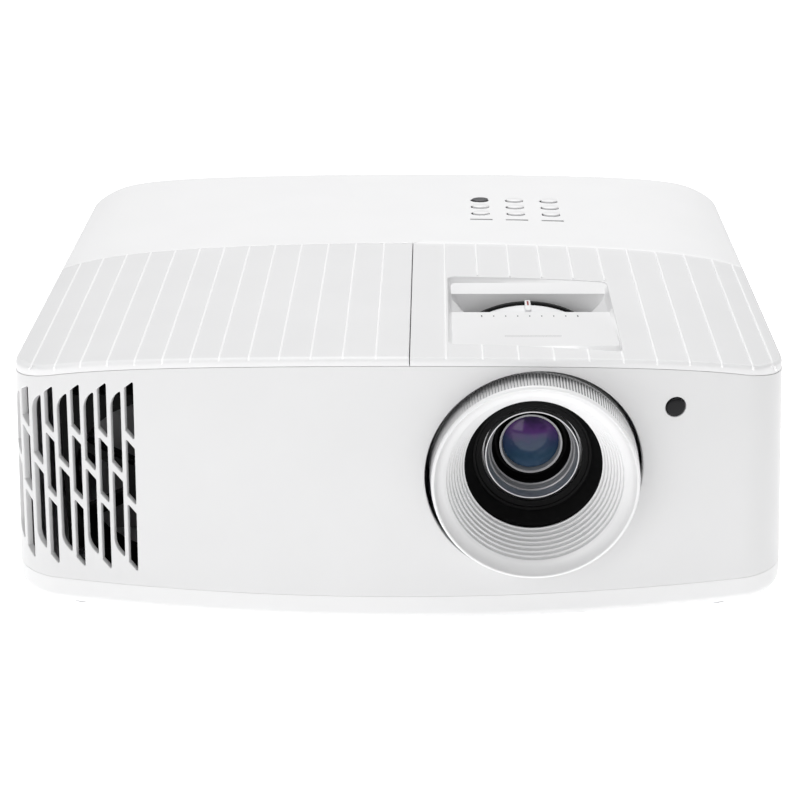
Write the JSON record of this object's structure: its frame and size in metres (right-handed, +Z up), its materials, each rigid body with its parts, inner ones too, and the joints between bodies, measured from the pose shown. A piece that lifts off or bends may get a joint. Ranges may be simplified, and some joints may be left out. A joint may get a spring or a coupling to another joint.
{
  "type": "home projector",
  "caption": "White home video projector with a front lens, manual focus and zoom rings, lift-off lamp cover, top keypad, rear connectors and screw feet.",
  "frame": {"origin": "middle of the bounding box in plan, on the surface the feet rest on", "axes": "+X towards the lens side, -Y out of the front, +Z up"},
  "size_m": [0.315, 0.27, 0.1182],
  "materials": {
    "casing_white": "satin white moulding",
    "cover_white": "matte light grey-white with fine raised white lines on the front zone",
    "key_white": "satin white",
    "key_grey": "satin dark grey",
    "light_bar": "smoked translucent",
    "smoked_window": "glossy infrared black",
    "focus_white": "satin white with a knurled rim and a grooved cone",
    "black_plastic": "matte black",
    "panel_grey": "satin dark grey",
    "circuit_board": "green solder mask",
    "steel": "nickel plated",
    "aluminium": "bare cast and machined",
    "optical_glass": "coated, blue and violet reflection",
    "lamp_glass": "clear quartz",
    "wheel_glass": "dichroic segments",
    "rubber": "matte black"
  },
  "bodies": {
    "case": {"base_case": "casing_white", "middle_case": "casing_white", "top_cover": "cover_white", "ir_window": "smoked_window", "ir_board": "circuit_board", "light_bar_power": "light_bar", "light_bar_lamp": "light_bar", "light_bar_temperature": "light_bar", "keypad_board": "circuit_board", "io_panel": "panel_grey", "service_usb_port": "steel", "hdmi_port_1": "steel", "hdmi_port_2": "steel", "usb_power_port": "steel", "serial_port": "steel", "audio_jack": "black_plastic", "trigger_jack": "black_plastic", "ac_inlet": "black_plastic", "main_board": "circuit_board", "power_board": "circuit_board", "lamp_ballast": "circuit_board", "lamp_housing": "panel_grey", "lamp_reflector": "aluminium", "lamp_burner": "lamp_glass", "colour_wheel_motor": "steel", "integrator_rod": "lamp_glass", "engine_case": "aluminium", "dmd_board": "circuit_board", "dmd_heat_sink": "aluminium", "lens_hood": "black_plastic", "lens_barrel": "black_plastic", "rear_lens": "optical_glass", "exhaust_fan_frame": "black_plastic", "intake_fan_frame": "black_plastic", "speaker": "black_plastic"},
    "lamp_cover": {"lamp_cover": "cover_white"},
    "focus_ring": {"focus_ring": "focus_white"},
    "front_lens_group": {"front_lens_cell": "aluminium", "front_lens": "optical_glass"},
    "zoom_ring": {"zoom_ring": "black_plastic"},
    "zoom_lens_group": {"zoom_lens": "black_plastic"},
    "exhaust_rotor": {"exhaust_fan_rotor": "black_plastic"},
    "intake_rotor": {"intake_fan_rotor": "black_plastic"},
    "colour_wheel": {"colour_wheel": "wheel_glass"},
    "key_power": {"key_power": "key_grey"},
    "key_source": {"key_source": "key_white"},
    "key_info": {"key_info": "key_white"},
    "key_up": {"key_up": "key_white"},
    "key_enter": {"key_enter": "key_white"},
    "key_down": {"key_down": "key_white"},
    "key_menu": {"key_menu": "key_white"},
    "key_left": {"key_left": "key_white"},
    "key_right": {"key_right": "key_white"},
    "front_left_foot": {"front_left_foot_stem": "steel"},
    "front_left_foot_pad": {"front_left_foot_pad": "rubber"},
    "front_right_foot": {"front_right_foot_stem": "steel"},
    "front_right_foot_pad": {"front_right_foot_pad": "rubber"},
    "rear_foot": {"rear_foot_stem": "steel"},
    "rear_foot_pad": {"rear_foot_pad": "rubber"}
  },
  "joints": [
    {"name": "lamp_cover_lift", "type": "slide", "parent": "case", "child": "lamp_cover", "axis": [0, 0, 1], "range_m": [0, 0.06]},
    {"name": "focus_turn", "type": "hinge", "parent": "case", "child": "focus_ring", "pos_m": [0.0536, -0.12, 0.066], "axis": [0, 1, 0], "range_deg": [-60, 60]},
    {"name": "focus_shift", "type": "slide", "parent": "case", "child": "front_lens_group", "axis": [0, 1, 0], "range_m": [-0.002, 0.002]},
    {"name": "zoom_turn", "type": "hinge", "parent": "case", "child": "zoom_ring", "pos_m": [0.0536, -0.05, 0.066], "axis": [0, 1, 0], "range_deg": [-25, 25]},
    {"name": "zoom_shift", "type": "slide", "parent": "case", "child": "zoom_lens_group", "axis": [0, 1, 0], "range_m": [-0.0025, 0.0025]},
    {"name": "exhaust_spin", "type": "hinge", "parent": "case", "child": "exhaust_rotor", "pos_m": [-0.097, -0.08, 0.04535], "axis": [0, 1, 0], "continuous": true},
    {"name": "intake_spin", "type": "hinge", "parent": "case", "child": "intake_rotor", "pos_m": [0.134, -0.03, 0.04035], "axis": [1, 0, 0], "continuous": true},
    {"name": "colour_wheel_spin", "type": "hinge", "parent": "case", "child": "colour_wheel", "pos_m": [-0.05, -0.01, 0.042], "axis": [1, 0, 0], "continuous": true},
    {"name": "key_power_press", "type": "slide", "parent": "case", "child": "key_power", "axis": [0, 0, -1], "range_m": [0, 0.0008], "stiffness_N_per_m": 600},
    {"name": "key_source_press", "type": "slide", "parent": "case", "child": "key_source", "axis": [0, 0, -1], "range_m": [0, 0.0008], "stiffness_N_per_m": 600},
    {"name": "key_info_press", "type": "slide", "parent": "case", "child": "key_info", "axis": [0, 0, -1], "range_m": [0, 0.0008], "stiffness_N_per_m": 600},
    {"name": "key_up_press", "type": "slide", "parent": "case", "child": "key_up", "axis": [0, 0, -1], "range_m": [0, 0.0008], "stiffness_N_per_m": 600},
    {"name": "key_enter_press", "type": "slide", "parent": "case", "child": "key_enter", "axis": [0, 0, -1], "range_m": [0, 0.0008], "stiffness_N_per_m": 600},
    {"name": "key_down_press", "type": "slide", "parent": "case", "child": "key_down", "axis": [0, 0, -1], "range_m": [0, 0.0008], "stiffness_N_per_m": 600},
    {"name": "key_menu_press", "type": "slide", "parent": "case", "child": "key_menu", "axis": [0, 0, -1], "range_m": [0, 0.0008], "stiffness_N_per_m": 600},
    {"name": "key_left_press", "type": "slide", "parent": "case", "child": "key_left", "axis": [0, 0, -1], "range_m": [0, 0.0008], "stiffness_N_per_m": 600},
    {"name": "key_right_press", "type": "slide", "parent": "case", "child": "key_right", "axis": [0, 0, -1], "range_m": [0, 0.0008], "stiffness_N_per_m": 600},
    {"name": "front_left_foot_height", "type": "slide", "parent": "case", "child": "front_left_foot", "axis": [0, 0, -1], "range_m": [0, 0.008]},
    {"name": "front_left_foot_turn", "type": "hinge", "parent": "front_left_foot", "child": "front_left_foot_pad", "pos_m": [-0.13, -0.099, 0.002], "axis": [0, 0, -1], "range_deg": [0, 2304.1]},
    {"name": "front_right_foot_height", "type": "slide", "parent": "case", "child": "front_right_foot", "axis": [0, 0, -1], "range_m": [0, 0.008]},
    {"name": "front_right_foot_turn", "type": "hinge", "parent": "front_right_foot", "child": "front_right_foot_pad", "pos_m": [0.13, -0.099, 0.002], "axis": [0, 0, -1], "range_deg": [0, 2304.1]},
    {"name": "rear_foot_height", "type": "slide", "parent": "case", "child": "rear_foot", "axis": [0, 0, -1], "range_m": [0, 0.008]},
    {"name": "rear_foot_turn", "type": "hinge", "parent": "rear_foot", "child": "rear_foot_pad", "pos_m": [0, 0.104, 0.002], "axis": [0, 0, -1], "range_deg": [0, 2304.1]}
  ],
  "couplings": [
    {"joint": "focus_shift", "follows": "focus_turn", "m_per_rad": 0.0019},
    {"joint": "zoom_shift", "follows": "zoom_turn", "m_per_rad": 0.0055},
    {"joint": "front_left_foot_turn", "follows": "front_left_foot_height", "rad_per_m": 5026.6},
    {"joint": "front_right_foot_turn", "follows": "front_right_foot_height", "rad_per_m": 5026.6},
    {"joint": "rear_foot_turn", "follows": "rear_foot_height", "rad_per_m": 5026.6}
  ]
}
